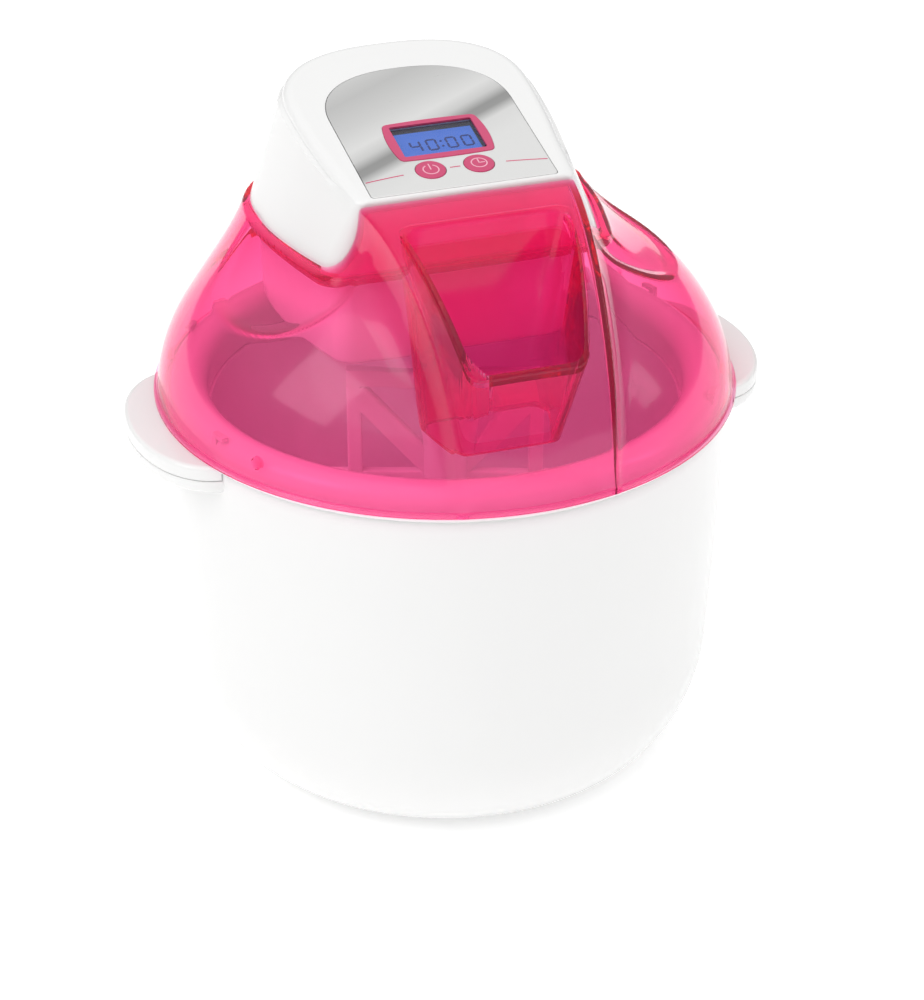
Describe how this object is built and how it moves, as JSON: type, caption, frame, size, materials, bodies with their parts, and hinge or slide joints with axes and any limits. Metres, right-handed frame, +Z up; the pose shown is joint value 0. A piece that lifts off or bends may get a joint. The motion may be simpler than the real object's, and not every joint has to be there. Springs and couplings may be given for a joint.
{
  "type": "ice cream maker",
  "caption": "Ice cream maker: handled pot, lift-out double-walled freezer bowl, domed translucent lid with a filling chute, and a motor head with display that turns a paddle.",
  "frame": {"origin": "on the floor, under the middle of the base, on the axis of the pot and the paddle", "axes": "+Z up; -Y is the front, where the filling chute and the control panel are; the handle tabs point along +X and -X"},
  "size_m": [0.26, 0.233, 0.2736],
  "materials": {
    "white_shell": "smooth white moulded plastic, satin gloss",
    "white_liner": "plain white moulded plastic",
    "white_paddle": "white food-grade plastic",
    "lid_magenta": "clear magenta-tinted moulded plastic, glossy",
    "accent_pink": "opaque pink plastic, satin",
    "fascia_metal": "bright brushed metal",
    "liner_metal": "satin aluminium",
    "steel": "plated steel",
    "gear_plastic": "natural acetal",
    "rubber_grey": "matt grey rubber",
    "coolant": "frozen gel",
    "display_blue": "backlit liquid crystal panel",
    "clear_lens": "clear window",
    "board_green": "green circuit board",
    "magnet": "dark moulded ferrite and black plastic"
  },
  "bodies": {
    "housing": {"outer_housing": "white_shell", "foot_1": "rubber_grey", "foot_2": "rubber_grey", "foot_3": "rubber_grey", "foot_4": "rubber_grey"},
    "freezer_bowl": {"bowl_collar": "white_shell", "bowl_liner": "liner_metal", "bowl_outer_wall": "white_liner", "bowl_seal": "rubber_grey", "coolant_gel": "coolant", "coolant_filler_plug": "rubber_grey"},
    "paddle": {"paddle": "white_paddle"},
    "lid": {"lid_dome": "lid_magenta"},
    "motor_head": {"head_shell": "white_shell", "head_base": "white_shell", "fascia_plate": "fascia_metal", "display_bezel": "accent_pink", "display_lens": "clear_lens", "lcd_panel": "display_blue", "circuit_board": "board_green", "tact_switch_1": "magnet", "tact_switch_2": "magnet", "motor_can": "steel", "motor_end_cap": "white_liner", "stage_axle": "steel", "output_bush": "gear_plastic", "plate_bush": "gear_plastic", "gearbox_plate": "steel", "plate_screw_1": "steel", "plate_screw_2": "steel", "plate_screw_3": "steel", "plate_screw_4": "steel", "cord_gland": "rubber_grey"},
    "power_button": {"power_button": "accent_pink"},
    "timer_button": {"timer_button": "accent_pink"},
    "rotor": {"motor_rotor": "magnet", "motor_pinion": "steel"},
    "stage_gear": {"stage_gear": "gear_plastic"},
    "output": {"output_gear": "gear_plastic", "output_shaft": "steel", "drive_coupler": "gear_plastic"}
  },
  "joints": [
    {"name": "bowl_lift", "type": "slide", "parent": "housing", "child": "freezer_bowl", "axis": [0, 0, 1], "range_m": [0, 0.18]},
    {"name": "lid_lift", "type": "slide", "parent": "freezer_bowl", "child": "lid", "axis": [0, 0, 1], "range_m": [0, 0.15]},
    {"name": "head_lift", "type": "slide", "parent": "lid", "child": "motor_head", "axis": [0, 0, 1], "range_m": [0, 0.12]},
    {"name": "paddle_spin", "type": "hinge", "parent": "freezer_bowl", "child": "paddle", "pos_m": [0, 0, 0.1], "axis": [0, 0, 1], "continuous": true},
    {"name": "output_spin", "type": "hinge", "parent": "motor_head", "child": "output", "pos_m": [0, 0, 0.19], "axis": [0, 0, 1], "continuous": true},
    {"name": "stage_spin", "type": "hinge", "parent": "motor_head", "child": "stage_gear", "pos_m": [0, 0.025, 0.2], "axis": [0, 0, 1], "continuous": true},
    {"name": "rotor_spin", "type": "hinge", "parent": "motor_head", "child": "rotor", "pos_m": [0, 0.048, 0.2], "axis": [0, 0, 1], "continuous": true},
    {"name": "power_press", "type": "slide", "parent": "motor_head", "child": "power_button", "axis": [0, 0.181, -0.9835], "range_m": [0, 0.001], "stiffness_N_per_m": 400},
    {"name": "timer_press", "type": "slide", "parent": "motor_head", "child": "timer_button", "axis": [0, 0.181, -0.9835], "range_m": [0, 0.001], "stiffness_N_per_m": 400}
  ],
  "couplings": [
    {"joint": "output_spin", "follows": "paddle_spin", "ratio": 1},
    {"joint": "stage_spin", "follows": "paddle_spin", "ratio": -3},
    {"joint": "rotor_spin", "follows": "paddle_spin", "ratio": 10.8}
  ]
}
